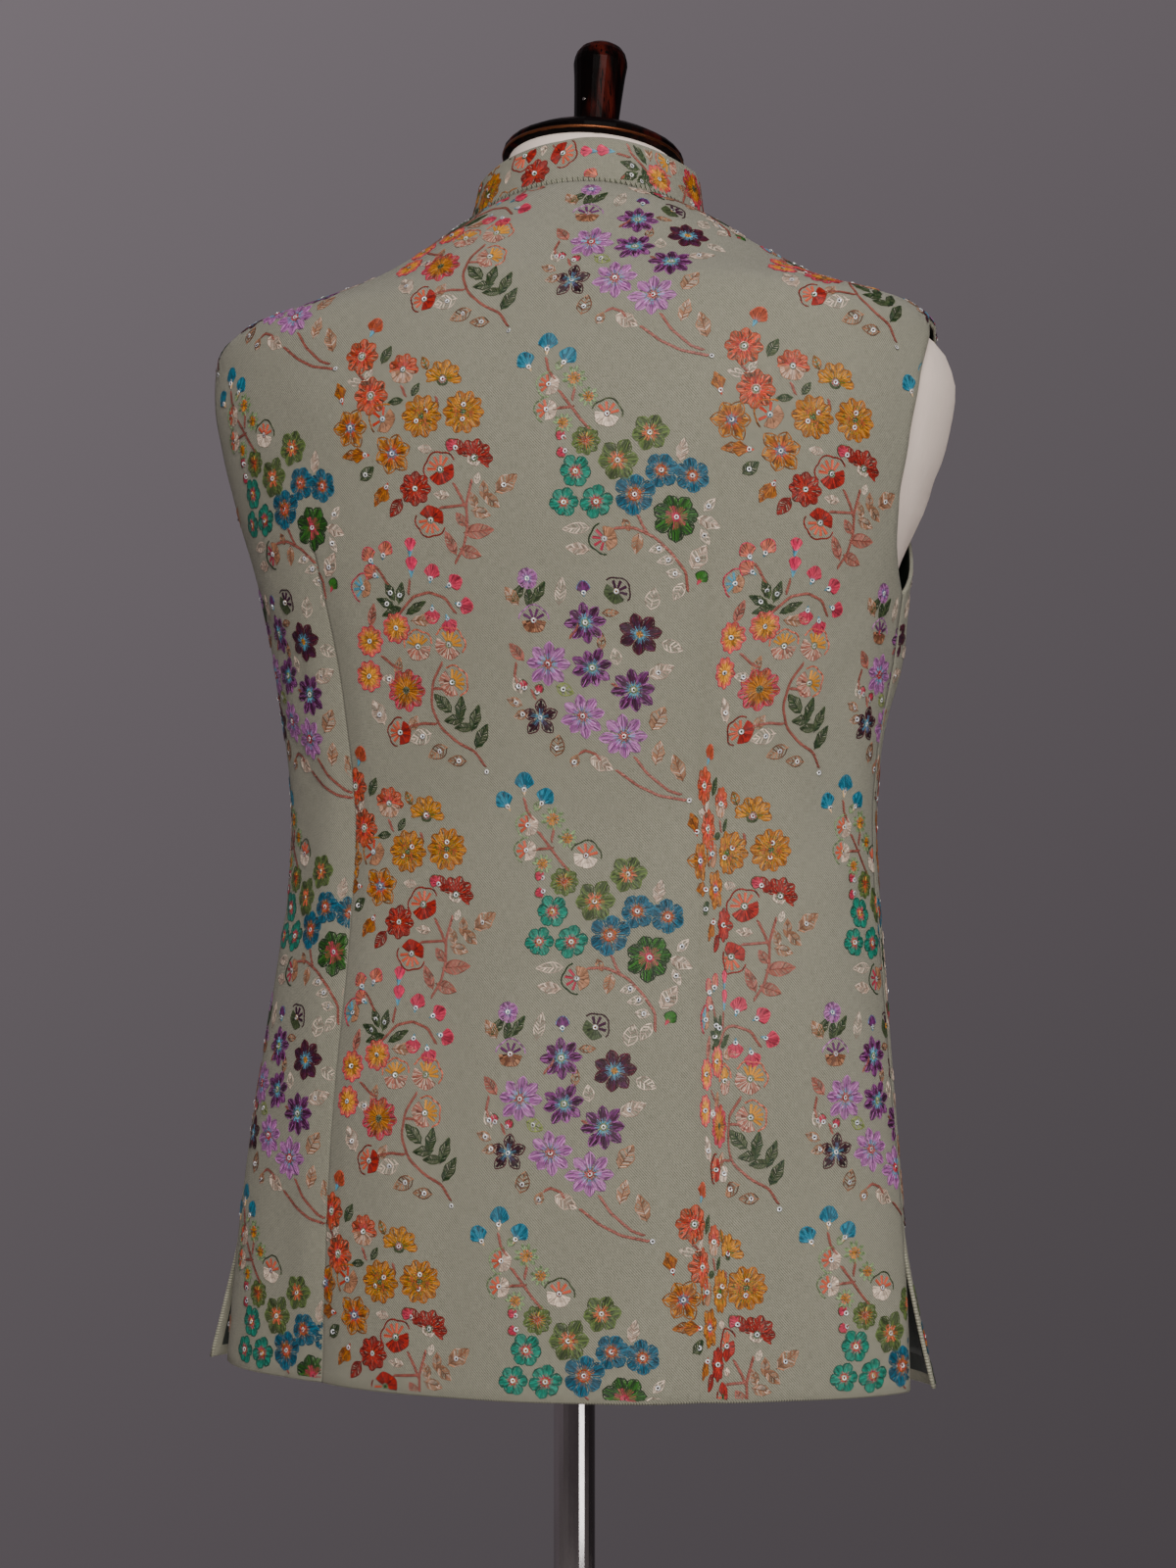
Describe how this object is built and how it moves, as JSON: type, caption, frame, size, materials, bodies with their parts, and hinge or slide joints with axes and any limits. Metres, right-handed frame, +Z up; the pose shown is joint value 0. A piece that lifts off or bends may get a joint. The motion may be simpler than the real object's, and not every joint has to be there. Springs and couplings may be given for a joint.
{
  "type": "waistcoat on dress form",
  "caption": "Sleeveless embroidered waistcoat with a stand collar and side vents, worn by a limbless linen dress form on a round-based pole.",
  "frame": {"origin": "on the floor under the pole, at the middle of the base's underside", "axes": "+Z up along the pole, +Y towards the back of the waistcoat, +X towards the wearer's left"},
  "size_m": [0.4354, 0.35, 1.6139],
  "materials": {
    "cloth": "sage-green twill with all-over thread embroidery",
    "lining": "dark green satin lining",
    "button": "polished horn-brown",
    "linen": "natural linen stretched over a form",
    "dark_wood": "dark glossy lacquer",
    "steel": "plain",
    "chrome": "polished",
    "base_paint": "satin black"
  },
  "bodies": {
    "root": {"back": "cloth", "front_left": "cloth", "front_right": "cloth", "collar": "cloth", "lining_left": "lining", "lining_right": "lining", "button_1": "button", "button_2": "button", "button_3": "button", "button_4": "button", "button_5": "button", "button_6": "button", "form_torso": "linen", "neck_cap": "dark_wood", "cap_washer": "steel", "finial": "dark_wood", "pole": "chrome", "base": "base_paint"}
  },
  "joints": []
}
